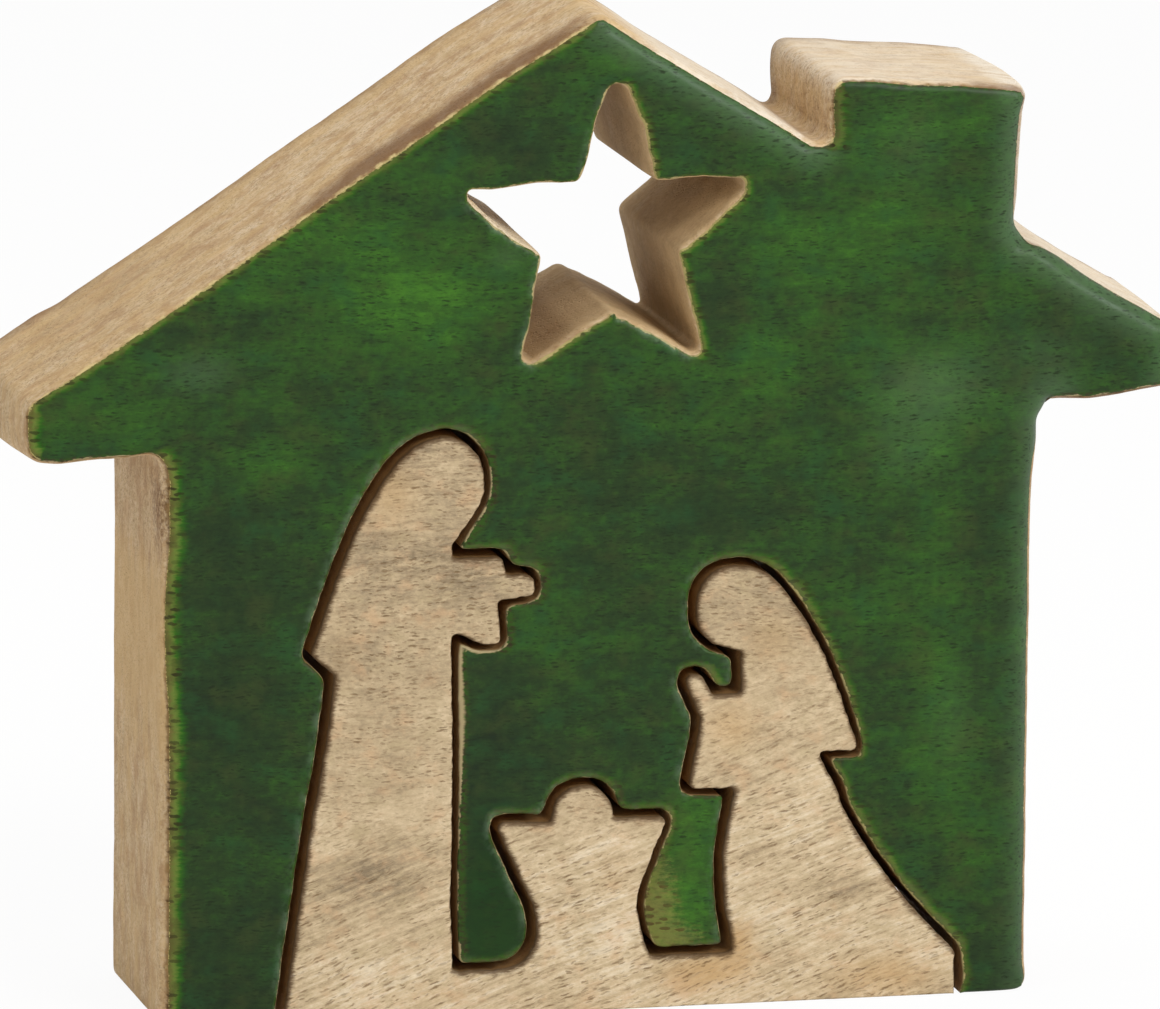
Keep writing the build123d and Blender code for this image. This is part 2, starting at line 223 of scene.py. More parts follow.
def rubbed(points, long, short, seed):
    """Noise of a long and a short wave in equal parts."""
    return 0.5 * waver(points, long, seed) + 0.5 * waver(points, short, seed + 1)


def patches(xz, spots):
    """Sum of soft patches at each point."""
    total = np.zeros(len(xz))
    for x, z, wide, high, amount in spots:
        total += amount * np.exp(-((xz[:, 0] - x) / wide) ** 2 - ((xz[:, 1] - z) / high) ** 2)
    return total


def section_loops(node):
    """Outlines of a CAD node in the middle plane of the board, the widest first."""
    mesh = bmesh.new()
    mesh.from_mesh(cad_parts[node].data)
    bmesh.ops.remove_doubles(mesh, verts=mesh.verts, dist=1e-6)
    everything = mesh.verts[:] + mesh.edges[:] + mesh.faces[:]
    cut = bmesh.ops.bisect_plane(mesh, geom=everything, plane_no=(0, 1, 0), dist=1e-7)
    edges = [item for item in cut["geom_cut"] if isinstance(item, bmesh.types.BMEdge)]
    loops = []
    while edges:
        edge = min(edges, key=lambda e: (min(v.co.x for v in e.verts), e.calc_length()))
        edges.remove(edge)
        start, here = edge.verts
        points = [start.co]
        while here != start:
            points.append(here.co)
            edge = next(e for e in here.link_edges if e in edges)
            edges.remove(edge)
            here = edge.other_vert(here)
        loops.append(np.array([(p.x, p.z) for p in points]) / MM)
    mesh.free()
    return sorted(loops, key=lambda loop: -np.ptp(loop[:, 0]))


def turns(loop):
    """Signed turn of the outline at each point, left positive."""
    before = loop - np.roll(loop, 1, axis=0)
    after = np.roll(loop, -1, axis=0) - loop
    cross = before[:, 0] * after[:, 1] - before[:, 1] * after[:, 0]
    return np.arctan2(cross, np.sum(before * after, axis=1))


def resampled(loop, anticlockwise):
    """Points about a step apart along a loop, with its sharp corners marked."""
    x, z = loop.T
    area = np.sum(x * np.roll(z, -1) - np.roll(x, -1) * z)
    loop = loop if (area > 0) == anticlockwise else loop[::-1]
    loop = loop[np.abs(turns(loop)) > STRAIGHT_TURN]
    points, sharp = [], []
    for here, after, turn in zip(loop, np.roll(loop, -1, axis=0), turns(loop)):
        count = max(1, round(np.linalg.norm(after - here) / STEP))
        points += [here + (after - here) * i / count for i in range(count)]
        sharp += [abs(turn) > SHARP_TURN] + [False] * (count - 1)
    return np.array(points), np.array(sharp)


def eased(values, free, passes):
    """Values round a loop, the free ones drawn towards their neighbours."""
    for _ in range(passes):
        even = (np.roll(values, 1, axis=0) + 2 * values + np.roll(values, -1, axis=0)) / 4
        values = np.where(free, even, values)
    return values


def nudged(points, shifts):
    """Outline with soft local shifts."""
    moved = points.copy()
    for x, z, reach, across, up in shifts:
        share = np.exp(-np.sum((points - (x, z)) ** 2, axis=1) / reach ** 2)
        moved += share[:, None] * (across, up)
    return moved


class Outline:
    """One closed saw line, with the way into the wood and the widest edge rounding that fits."""

    def __init__(self, points, ragged=None):
        self.measure(points)
        if ragged is not None:
            self.measure(points + self.inward * ragged[:, None])

    def measure(self, points):
        self.points = points
        turn = turns(points)
        ahead = np.roll(points, -1, axis=0) - points
        gap = np.linalg.norm(ahead, axis=1)
        ahead /= gap[:, None]
        along = ahead + np.roll(ahead, 1, axis=0)
        along /= np.linalg.norm(along, axis=1)[:, None]
        self.inward = np.stack([-along[:, 1], along[:, 0]], axis=1)
        self.miter = 1 / np.cos(np.clip(turn / 2, -WIDEST_TURN, WIDEST_TURN))
        bend = gap / np.maximum(turn, 1e-6)
        tight = bend < TIGHT_BEND
        self.room = np.full(len(points), FREE_ROOM)
        if tight.any():
            apart = np.linalg.norm(points[:, None] - points[None, tight], axis=2)
            self.room = np.min(ROOM_PER_BEND * bend[tight] + ROOM_PER_MM * apart, axis=1)

    def facing(self, across, up, low=0.2, high=0.8):
        """How far the wall at each point faces a direction, 0 to 1."""
        return smooth(-self.inward @ (across, up), low, high)

    def fitted(self, radius):
        """Edge radius, smaller where the outline bends tightly."""
        return np.maximum(np.minimum(radius, self.room), LEAST_RADIUS)

    def inset(self, amount):
        return self.points + self.inward * (self.miter * amount)[:, None]


class Board(Outline):
    """Saw line of the stable board: where it is pocket, floor, chimney or wall, and which way it faces."""

    def __init__(self, points, ragged, pocket, floor):
        super().__init__(points, ragged)
        self.pocket = pocket
        self.floor = floor
        self.outer = ~pocket & ~floor
        self.left = self.facing(-1, 0)
        self.right = self.facing(1, 0)
        self.high = self.facing(0, 1)
        self.low = self.facing(0, -1)
        x, z = self.points.T
        self.on_stack = smooth(x, 24, 30) * smooth(z, 100, 106)
        self.on_wall = self.left * (1 - self.high) * (1 - smooth(z, 68, 72)) * (1 - 0.8 * bell(z, 50, 9))


class Piece:
    """Vertices, faces and vertex data of one piece."""

    def __init__(self):
        self.points = np.zeros((0, 3))
        self.faces = []
        self.data = {}

    def xz(self):
        return self.points[:, [0, 2]]

    def add(self, xz, y):
        first = len(self.points)
        xyz = np.column_stack([xz[:, 0], np.broadcast_to(y, len(xz)), xz[:, 1]])
        self.points = np.vstack([self.points, xyz])
        return np.arange(first, first + len(xz))

    def wrap(self, rings):
        """Band of quads through rings from front to back; gives the end rings."""
        added = [self.add(xz, y) for xz, y in rings]
        for front, behind in zip(added, added[1:]):
            quads = [front, behind, np.roll(behind, -1), np.roll(front, -1)]
            self.faces += np.column_stack(quads).tolist()
        return added[0], added[-1]

    def fill(self, rings, y, to_front, spacings=()):
        """Flat face inside the rings, with a net of points if spacings are given."""
        corners = np.vstack([self.xz()[ring] for ring in rings])
        edges = []
        first = 0
        for ring in rings:
            index = np.arange(first, first + len(ring))
            edges += np.column_stack([index, np.roll(index, -1)]).tolist()
            first += len(ring)
        used = np.concatenate(rings)
        if spacings:
            used = np.concatenate([used, self.add(inner_net(corners, edges, *spacings), y)])
        xz = self.xz()[used]
        made = delaunay_2d_cdt([Vector(p) for p in xz], edges, [], 0, CDT_GAP, True)
        source = np.array([ids[0] if ids else -1 for ids in made[3]])
        triangles = source[np.array(made[2])]
        triangles = triangles[(triangles >= 0).all(axis=1)]
        on_rings = (triangles < first).all(axis=1)
        keep = ~on_rings
        keep[on_rings] = inside(xz[triangles[on_rings]].mean(axis=1), corners, edges)
        triangles = used[triangles[keep]]
        self.faces += (triangles if to_front else triangles[:, ::-1]).tolist()


def inside(points, corners, edges):
    """Whether each point lies within closed edges."""
    start, end = corners[np.array(edges)].transpose(1, 0, 2)
    answer = np.zeros(len(points), bool)
    for part in np.array_split(np.arange(len(points)), max(1, len(points) // POINTS_AT_ONCE)):
        x, z = points[part].T[:, :, None]
        crosses = (start[:, 1] > z) != (end[:, 1] > z)
        rise = np.where(end[:, 1] == start[:, 1], 1, end[:, 1] - start[:, 1])
        at = start[:, 0] + (z - start[:, 1]) * (end[:, 0] - start[:, 0]) / rise
        answer[part] = np.sum(crosses & (x < at), axis=1) % 2 == 1
    return answer


def search_tree(points):
    tree = kdtree.KDTree(len(points))
    for index, (x, z) in enumerate(points):
        tree.insert((x, 0, z), index)
    tree.balance()
    return tree


def nearest(tree, xz):
    """Distance to the nearest point of a tree, and its number."""
    found = [tree.find((x, 0, z)) for x, z in xz]
    return np.array([f[2] for f in found]), np.array([f[1] for f in found])


def inner_net(corners, edges, fine, coarse):
    """Points inside a face, closer together near its edges."""
    tree = search_tree(corners)
    low, high = corners.min(axis=0), corners.max(axis=0)
    kept = []
    for spacing, least, most in ((fine, fine * 0.55, NET_BORDER), (coarse, NET_BORDER, np.inf)):
        for number, z in enumerate(np.arange(low[1], high[1], spacing * ROW_HEIGHT)):
            x = np.arange(low[0] + (number % 2) * spacing / 2, high[0], spacing)
            row = np.column_stack([x, np.full(len(x), z)])
            row = row[inside(row, corners, edges)]
            if len(row):
                gap = nearest(tree, row)[0]
                kept.append(row[(gap > least) & (gap <= most)])
    return np.vstack(kept)


def edge_rings(outline, radius, coat):
    """Rings of a rounded front edge: on the coat, at its end and behind it."""
    deep = radius > coat
    last = np.where(deep, np.arcsin(np.clip(1 - coat / radius, 0, 1)), 0)
    front = []
    for turn in range(COAT_RINGS):
        angle = pi / 2 + (last - pi / 2) * turn / np.where(deep, COAT_RINGS, COAT_RINGS - 1)
        front.append((outline.inset(radius * (1 - np.cos(angle))), FRONT + radius * (1 - np.sin(angle))))
    coat_end = (outline.inset(radius * (1 - np.cos(last))), FRONT + coat)
    behind = []
    for turn in range(1, BEHIND_RINGS + 1):
        angle = last * (1 - turn / BEHIND_RINGS)
        depth = np.where(deep, radius * (1 - np.sin(angle)), coat + COAT * turn)
        behind.append((outline.inset(np.where(deep, radius * (1 - np.cos(angle)), 0)), FRONT + depth))
    return front, coat_end, behind


def back_rings(outline, radius, flare):
    """Rings of a rounded back edge; flare widens the board there."""
    rings = []
    for turn in range(BACK_RINGS + 1):
        angle = pi / 2 * turn / BACK_RINGS
        inset = radius * (1 - np.cos(angle)) - flare
        rings.append((outline.inset(inset), BACK - radius * (1 - np.sin(angle))))
    return rings


def wall_rings(outline, start, end, edges, seed):
    """Rings along a sawn wall, closest near the front, uneven, flared and bulged."""
    rings = []
    for row in range(1, WALL_ROWS):
        y = start + (end - start) * (row / WALL_ROWS) ** WALL_CROWDING
        middle = sin(pi * row / WALL_ROWS)
        swell = waver(np.column_stack([outline.points, y]), 11.0, seed) * edges.uneven * middle
        ring = outline.inset(swell - edges.flare * row / WALL_ROWS)
        ring[:, 0] += edges.bulge * middle
        rings.append((ring, y))
    return rings


def all_rings(outline, edges, seed):
    """All rings of one saw line: on the coat, at its end and behind it."""
    front, coat_end, behind = edge_rings(outline, edges.front, edges.coat)
    backs = back_rings(outline, edges.back, edges.flare)
    walls = wall_rings(outline, behind[-1][1], backs[0][1], edges, seed)
    return front, coat_end, behind + walls + backs


def placed(name, data):
    """New object in the scene."""
    made = bpy.data.objects.new(name, data)
    bpy.context.scene.collection.objects.link(made)
    return made


def mesh_object(name, piece, body, mat, replaced):
    """Blender object of a finished piece."""
    mesh = bpy.data.meshes.new(name)
    mesh.from_pydata((piece.points * MM).tolist(), [], piece.faces)
    for label, values in piece.data.items():
        attribute = mesh.attributes.new(label, "FLOAT_VECTOR", "POINT")
        attribute.data.foreach_set("vector", np.column_stack(values).astype(np.float32).ravel())
    mesh.materials.append(mat.owner)
    mesh.polygons.foreach_set("use_smooth", np.ones(len(mesh.polygons), bool))
    mesh.set_sharp_from_angle(angle=radians(38))
    made = placed(name, mesh)
    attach(made, body)
    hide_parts(replaced)


class Graph:
    """Short calls for the nodes of a material or the world."""

    def __init__(self, owner):
        owner.use_nodes = True
        self.owner = owner
        self.nodes = owner.node_tree.nodes
        self.links = owner.node_tree.links
        self.nodes.clear()

    def node(self, kind, inputs, **settings):
        made = self.nodes.new(kind)
        for key, value in settings.items():
            setattr(made, key, value)
        for key, value in inputs.items():
            if isinstance(value, bpy.types.NodeSocket):
                self.links.new(value, made.inputs[key])
            else:
                made.inputs[key].default_value = value
        return made

    def math(self, operation, a, b):
        return self.node("ShaderNodeMath", {0: a, 1: b}, operation=operation).outputs[0]

    def add(self, *values):
        return reduce(lambda a, b: self.math("ADD", a, b), values)

    def less(self, a, b):
        return self.math("SUBTRACT", a, b)

    def times(self, *values):
        return reduce(lambda a, b: self.math("MULTIPLY", a, b), values)

    def step(self, value, low, high, start=0.0, end=1.0):
        """Soft S from start to end while the value goes from low to high."""
        inputs = {"Value": value, "From Min": low, "From Max": high, "To Min": start, "To Max": end}
        return self.node("ShaderNodeMapRange", inputs, interpolation_type="SMOOTHSTEP").outputs[0]

    def blend(self, share, a, b):
        return self.node("ShaderNodeMix", {0: share, 2: a, 3: b}).outputs[0]

    def mix(self, share, a, b):
        return self.node("ShaderNodeMix", {0: share, 6: a, 7: b}, data_type="RGBA").outputs[2]

    def tinted(self, colour, **shares):
        """Colour drawn towards named ones, one after the other."""
        for name, share in shares.items():
            colour = self.mix(share, colour, paint(name))
        return colour

    def scale(self, value, name):
        """Colour at a place along a named scale."""
        made = self.node("ShaderNodeValToRGB", {0: value})
        stops = SCALES[name]
        for _ in stops[2:]:
            made.color_ramp.elements.new(0.5)
        for element, (place, colour) in zip(made.color_ramp.elements, stops):
            element.position = place
            element.color = linear(colour)
        return made.outputs[0]

    def scaled(self, vector, size):
        inputs = {0: vector, 1: tuple(1 / s for s in size)}
        return self.node("ShaderNodeVectorMath", inputs, operation="MULTIPLY").outputs[0]

    def moved(self, vector, other):
        return self.node("ShaderNodeVectorMath", {0: vector, 1: other}, operation="ADD").outputs[0]

    def parts(self, vector):
        return self.node("ShaderNodeSeparateXYZ", {0: vector}).outputs

    def place(self):
        """Place on the piece in mm."""
        return self.scaled(self.node("ShaderNodeTexCoord", {}).outputs["Object"], (MM, MM, MM))

    def attribute(self, name):
        return self.parts(self.node("ShaderNodeAttribute", {}, attribute_name=name).outputs["Vector"])

    def noise(self, vector, size, detail=2.0, roughness=0.5):
        """Noise with spots of a size in mm along each axis."""
        inputs = {"Vector": self.scaled(vector, size), "Scale": 1.0, "Detail": detail, "Roughness": roughness}
        return self.node("ShaderNodeTexNoise", inputs).outputs[0]

    def pores(self, vector, size, width, dimensions="3D"):
        """Short vessels along the grain, some deeper than others."""
        inputs = {"Vector": self.scaled(vector, size), "Scale": 1.0}
        made = self.node("ShaderNodeTexVoronoi", inputs, voronoi_dimensions=dimensions)
        mark = self.step(made.outputs["Distance"], width * 0.25, width, 1.0, 0.0)
        pick = self.parts(made.outputs["Color"])[0]
        return self.times(mark, self.step(pick, 0.0, 0.9, 0.1, 1.0))

    def torn(self, vector, size, across, up):
        """Vector shaken by fine noise, which tears the ends of marks."""
        inputs = {"Vector": self.scaled(vector, (size, size, size)), "Scale": 1.0, "Detail": 2.0}
        shake = self.node("ShaderNodeTexNoise", inputs).outputs["Color"]
        return self.moved(vector, self.scaled(shake, (1 / across, 1 / up, 1 / up)))

    def surface(self, colour, roughness, height, strength, specular):
        bump = self.node("ShaderNodeBump", {"Strength": strength, "Distance": 0.0002, "Height": height})
        inputs = {"Base Color": colour, "Roughness": roughness, "Normal": bump.outputs[0],
                  "Specular IOR Level": specular}
        shader = self.node("ShaderNodeBsdfPrincipled", inputs)
        self.node("ShaderNodeOutputMaterial", {"Surface": shader.outputs[0]})


def linear(colour):
    """Colour with alpha from screen values of 0 to 255, by the sRGB curve."""
    levels = (value / 255 for value in colour)
    return tuple(c / 12.92 if c <= 0.04045 else ((c + 0.055) / 1.055) ** 2.4 for c in levels) + (1,)


def paint(name):
    return linear(COLOURS[name])


def grain(mat, at, length):
    """Pores and fibres of wood whose grain runs along X."""
    long_wave = mat.times(mat.noise(at, (40, 20, 20), 1), 5)
    wave = mat.add(long_wave, mat.times(mat.noise(at, (3, 2, 2)), 0.8))
    bent = mat.moved(at, mat.node("ShaderNodeCombineXYZ", {2: wave}).outputs[0])
    bent = mat.torn(bent, 0.6, 0.9, 0.3)
    long = mat.pores(bent, (1.8 * length, 0.6, 0.42), 0.44)
    short = mat.pores(mat.moved(bent, (31, 7, 3)), (0.95 * length, 0.45, 0.32), 0.45)
    fibre = mat.noise(bent, (3.5 * length, 0.6, 0.5), 4, 0.7)
    return mat.math("MAXIMUM", long, mat.times(short, 0.8)), fibre


def gathered(mat, at, pore, size, least):
    """Pores that gather in places and thin out to a least share."""
    crowd = mat.noise(mat.moved(at, (9, 0, 40)), size, 3)
    return mat.times(pore, mat.step(crowd, 0.32, 0.56, least, 1))


def bare_wood(mat, at, shade, warm, lean, length, rough):
    """Colour and dents of the pale wood; lean is the share of the grain that climbs to the right, length the
    stretch of its pores, rough how strongly fine grain and pores show."""
    pore, fibre = grain(mat, at, length)
    streak = fibre
    if lean is not None:
        turned = mat.node("ShaderNodeVectorRotate", {"Vector": at, "Angle": CLIMB}, rotation_type="Y_AXIS")
        climb = turned.outputs[0]
        climbing = grain(mat, climb, length * 1.4)
        pore, fibre = (mat.blend(lean, a, b) for a, b in zip((pore, fibre), climbing))
        streak = mat.blend(lean, 0.5, mat.noise(climb, (12, 1.4, 0.6), 4, 0.68))
    broad = mat.noise(at, (7, 6, 5), 4, 0.65)
    fine = mat.noise(at, (0.8, 0.7, 0.5), 3, 0.75)
    tone = mat.add(-0.41 - 0.275 * rough, mat.times(broad, 0.75), mat.times(fine, 0.55 * rough),
                   mat.times(streak, 0.95), mat.times(shade, mat.step(fibre, 0.35, 0.65, 0.1, 0.5)))
    hue = mat.noise(mat.moved(at, (0, 60, 5)), (4, 3, 3), 3, 0.6)
    dark = gathered(mat, at, pore, (7, 4, 4), 0.4)
    colour = mat.tinted(
        mat.scale(tone, "wood"),
        straw=mat.step(hue, 0.5, 0.75, 0, 0.45),
        peach=mat.step(hue, 0.5, 0.28, 0, 0.45),
        warm=mat.step(warm, 0, 1.2, 0, 0.7),
        fibre=mat.step(fibre, 0.48, 0.75, 0, 0.3),
        pore=mat.times(dark, 0.75 * rough))
    return colour, mat.less(mat.times(fibre, 0.3), dark)


def soft_streak(mat, at):
    """Broad soft streaks along the grain."""
    return mat.noise(at, (9, 1.2, 1), 4, 0.7)


def edge_ticks(mat, at):
    """Dark pores across the edge of the coat, the same in the wood beside it."""
    across, _, up = mat.parts(mat.torn(at, 0.7, 0.8, 0.3))
    flat = mat.node("ShaderNodeCombineXYZ", {0: across, 1: up}).outputs[0]
    return mat.step(mat.pores(flat, (2.2, 0.75, 1), 0.42, "2D"), 0.1, 0.45)


def board_tints(mat, at, colour, honey, bleach):
    """Brown blushes, golden drifts, dark lines and bleached runs."""
    blush = mat.noise(at, (3.2, 2.6, 4.2), 5, 0.7)
    drift = mat.noise(mat.moved(at, (40, 0, 0)), (6, 3, 9), 4, 0.65)
    lines = mat.noise(at, (12, 0.7, 14), 4, 0.7)
    streak = mat.step(soft_streak(mat, at), 0.35, 0.6, 0.45, 1)
    return mat.tinted(
        colour,
        blush=mat.step(blush, 0.42, 0.66, 0, 0.75),
        golden=mat.step(mat.add(drift, mat.times(honey, 0.3)), 0.35, 0.75, 0.05, 0.65),
        line=mat.step(lines, 0.5, 0.72, 0, 0.18),
        bleached=mat.times(bleach, streak))


def board_burns(mat, at, depth, colour, kerf, star, marks):
    """Scorched walls of the star and the saw cut, painted light on a star wall, smudges with painted shade,
    and soot.
    """
    smudge_and_shade, soot, pale = marks
    rag = mat.noise(at, (1.4, 0.5, 0.3), 3, 0.6)
    soft = mat.noise(at, (4, 4, 4), 3, 0.6)
    burnt = mat.scale(mat.add(mat.times(soft, 0.6), mat.times(rag, 0.4)), "burnt")
    in_star = mat.step(mat.add(star, mat.times(rag, 0.4)), 0.3, 0.9, 1, 0)
    rim = mat.step(mat.add(depth, mat.times(rag, 2)), 1, 2.6, 0.3, 0.9)
    colour = mat.mix(mat.times(in_star, rim), colour, burnt)
    speck = mat.noise(mat.moved(at, (5, 5, 5)), (0.6, 0.55, 0.6), 3, 0.7)
    # Blots from smudges, and painted shade below the star.
    blot = mat.step(mat.add(smudge_and_shade, mat.times(soft, 0.6), mat.times(rag, 0.3)), 0.5, 1.3)
    specks = mat.step(mat.add(soot, mat.times(speck, 1.6)), 1, 1.6)
    # The pale colour here is painted light on the lower wall of the star's left arm.
    colour = mat.tinted(colour, pale=pale, soot=mat.times(mat.math("MAXIMUM", blot, specks), 0.8))
    in_kerf = mat.step(kerf, 0.05, 0.4, 1, 0)
    toast = mat.scale(mat.times(depth, 0.2), "board_kerf")
    return mat.mix(mat.times(in_kerf, mat.step(depth, 0.2, 0.9, 0.6, 0.95)), colour, toast)


def board_spill(mat, at, depth, colour, kerf, star, spill):
    """Stain that has run over the front edges, and dark pores across it."""
    patchy = mat.noise(mat.moved(at, (0, 30, 9)), (2.2, 2, 2.2), 3, 0.65)
    patchy = mat.times(mat.less(patchy, 0.5), 1.2)
    line = mat.times(mat.step(mat.add(depth, patchy), 0.5, 1, 1, 0),
                     mat.step(kerf, 0.2, 0.8), mat.step(star, 0.5, 1.1))
    over = mat.scale(mat.add(spill, patchy), "spill")
    colour = mat.mix(mat.times(line, 0.85), colour, over)
    ticked = mat.times(line, mat.step(spill, 0.3, 0.6), edge_ticks(mat, at))
    return mat.tinted(colour, board_tick=mat.times(ticked, 0.75))


def board_material():
    """Bare wood of the stable, with stain over its front edges."""
    mat = Graph(bpy.data.materials.new("stable_wood"))
    at = mat.place()
    depth = mat.less(mat.parts(at)[1], FRONT)
    kerf, star, bleach = mat.attribute("edges")
    # The middle part holds smudges, and painted shade below the star.
    shade, smudge_and_shade, spill = mat.attribute("stain")
    # The third part is painted light on the lower wall of the star's left arm.
    honey, soot, pale = mat.attribute("tints_and_light")
    colour, height = bare_wood(mat, at, shade, warm=0.5, lean=None, length=0.6, rough=0.65)
    colour = board_tints(mat, at, colour, honey, bleach)
    colour = board_burns(mat, at, depth, colour, kerf, star, (smudge_and_shade, soot, pale))
    colour = board_spill(mat, at, depth, colour, kerf, star, spill)
    mat.surface(colour, roughness=0.7, height=height, strength=0.5, specular=0.12)
    return mat


def group_material():
    """Bare wood of the nativity group, scorched along its edges, with painted shade where they face left and
    up.
    """
    mat = Graph(bpy.data.materials.new("nativity_wood"))
    at = mat.place()
    depth = mat.less(mat.parts(at)[1], FRONT)
    gap, reach, lean = mat.attribute("rim")
    shade, warm, _ = mat.attribute("stain")
    colour, height = bare_wood(mat, at, shade, warm, lean, length=1, rough=1)
    rag = mat.noise(at, (1, 0.4, 0.18), 3, 0.65)
    ragged = mat.add(gap, mat.times(mat.less(rag, 0.5), 1.5, reach))
    # Scorched wood and painted shade along the front edges, widest where they face left and up.
    scorch = mat.step(mat.math("DIVIDE", ragged, reach), 0.1, 1, 1, 0)
    colour = mat.tinted(colour, scorch=mat.times(scorch, 0.85))
    wall = mat.times(mat.step(gap, 0, 0.15, 1, 0), mat.step(depth, 0.3, 1.4, 0, 0.9))
    toast = mat.scale(mat.times(depth, 0.2), "group_kerf")
    colour = mat.mix(mat.times(wall, mat.step(reach, 0.02, 0.1)), colour, toast)
    mat.surface(colour, roughness=0.68, height=height, strength=0.5, specular=0.12)
    return mat


def stain_colour(mat, at, bright, dusty, cloud, mottle):
    """Patchy green, by chance cooler or more olive, in places grey-blue with dust and painted highlight, in
    others deep.
    """
    streak = soft_streak(mat, mat.moved(at, (0, 0, 33)))
    tone = mat.add(-0.245, mat.times(bright, 0.22), mat.times(cloud, 0.6), mat.times(mottle, 0.5),
                   mat.times(streak, 0.3))
    hue = mat.noise(mat.moved(at, (0, 60, 5)), (6, 5, 5), 3, 0.6)
    return mat.tinted(
        mat.scale(tone, "green"),
        cool_green=mat.step(hue, 0.5, 0.72, 0, 0.5),
        olive=mat.step(hue, 0.5, 0.28, 0, 0.45),
        dusty_green=mat.step(dusty, 0, 1.2, 0, 0.5),
        deep_green=mat.step(dusty, 0, -1, 0, 0.6))


def thin_edges(mat, at, colour, edge, chip, vivid):
    """Thin stain along the edges, yellow to bright green where vivid."""
    lively = mat.tinted(mat.scale(edge, "thin_edge"), chip=mat.step(chip, 0.45, 0.62, 0, 0.5))
    grime = mat.step(mat.noise(at, (0.9, 0.5, 0.5), 3, 0.6), 0.45, 0.6)
    lively = mat.mix(vivid, mat.tinted(paint("dull_edge"), grime=grime), lively)
    thin = mat.step(edge, 0.45, 1.1, 1, 0)
    return mat.mix(mat.times(thin, 0.8), colour, lively)


def bare_rim(mat, colour, gap, jag, chip, rim, vivid):
    """Narrow rim of bare wood, unbroken where the edge is vivid or the rim is broad."""
    strip = mat.step(rim, 0.2, 0.35)
    width = mat.times(rim, mat.blend(strip, mat.step(chip, 0.35, 0.65, 0.1, 1.7), 1))
    bare = mat.step(mat.math("DIVIDE", mat.add(gap, mat.times(jag, 0.6)), width), 0.5, 1.1, 1, 0)
    whole = mat.math("MAXIMUM", vivid, strip)
    bare = mat.times(bare, mat.blend(whole, mat.step(chip, 0.42, 0.58), 1))
    return mat.mix(mat.times(bare, 0.65), colour, mat.tinted(paint("bare_rim"), vivid_rim=vivid))


def rubbed_stain(mat, colour, worn, jag, mottle, tick):
    """Stain rubbed thin beside the manger, its pores still dark."""
    faded = mat.add(worn, jag, mat.times(mat.less(mottle, 0.5), 1.2))
    faded = mat.times(mat.step(faded, 0.15, 1), mat.step(worn, 0.1, 0.4))
    return mat.tinted(colour, worn=mat.times(faded, 0.5), worn_tick=mat.times(tick, faded, 0.8))


def coat_material():
    """Glossy green stain: patchy, dark in the pores, thin and yellow along the edges, with a painted
    highlight by some edges.
    """
    mat = Graph(bpy.data.materials.new("green_stain"))
    at = mat.place()
    gap, reach, rim = mat.attribute("rim")
    bright, dusty, ticks = mat.attribute("stain")
    # Worn stain, vivid edges and the share of painted highlight.
    worn, vivid, halo = mat.attribute("wear_and_highlight")
    cloud = mat.noise(mat.moved(at, (50, 0, 20)), (7, 6, 4.5), 4, 0.65)
    mottle = mat.noise(at, (1.5, 1, 1.1), 3, 0.7)
    chip = mat.noise(mat.moved(at, (70, 0, 0)), (2.5, 2, 2.5), 3, 0.7)
    jag = mat.less(mat.noise(at, (1.5, 0.4, 0.3), 3, 0.65), 0.5)
    tick = edge_ticks(mat, at)
    pore, fibre = grain(mat, at, 1)
    marks = gathered(mat, at, pore, (9, 5, 5), 0.3)
    colour = mat.tinted(
        stain_colour(mat, at, bright, dusty, cloud, mottle),
        green_pore=mat.times(marks, 0.85),
        green_fibre=mat.step(fibre, 0.5, 0.8, 0, 0.35))
    edge = mat.math("DIVIDE", mat.add(gap, mat.times(jag, 0.6, reach)), reach)
    by_edge = mat.times(ticks, mat.step(edge, 0.4, 1.4, 1, 0))
    # Painted highlight: a pale band painted on the coat beside pocket edges facing right and down and star
    # edges facing up and right.
    sheen = mat.times(halo, mat.step(chip, 0.4, 0.65), mat.step(gap, 0, 1.4, 1, 0))
    colour = mat.tinted(
        thin_edges(mat, at, colour, edge, chip, vivid),
        edge_tick=mat.times(tick, by_edge, 0.95),
        sheen=mat.times(sheen, 0.38))
    colour = bare_rim(mat, colour, gap, jag, chip, rim, vivid)
    colour = rubbed_stain(mat, colour, worn, jag, mottle, tick)
    height = mat.less(mat.times(fibre, 0.25), mat.times(marks, 0.6))
    gloss = mat.step(cloud, 0.3, 0.7, 0.32, 0.45)
    mat.surface(colour, roughness=gloss, height=height, strength=0.12, specular=0.15)
    return mat


def pushed_right(points, outer):
    """Outline with its right walls further out, mostly on the chimney."""
    line = Outline(points)
    x, z = points.T
    push = 0.65 + 0.1 * smooth(z, 72, 80) + 0.45 * smooth(z, 94, 100)
    share = line.facing(1, 0) * smooth(x, 40, 45) * outer * push
    shift = -line.inward * share[:, None]
    shift[:, 1] *= 1 - 0.7 * smooth(z, 104, 108)
    return points + shift


def rounded_feet(points, floor):
    """Outline with the two bottom corners of the board rounded."""
    x, z = points.T
    ends = points[floor, 0].min(), points[floor, 0].max()
    aside = np.minimum(*(np.abs(x - end) for end in ends))
    return eased(points, (np.hypot(aside, z) < FOOT_REACH)[:, None], 14)


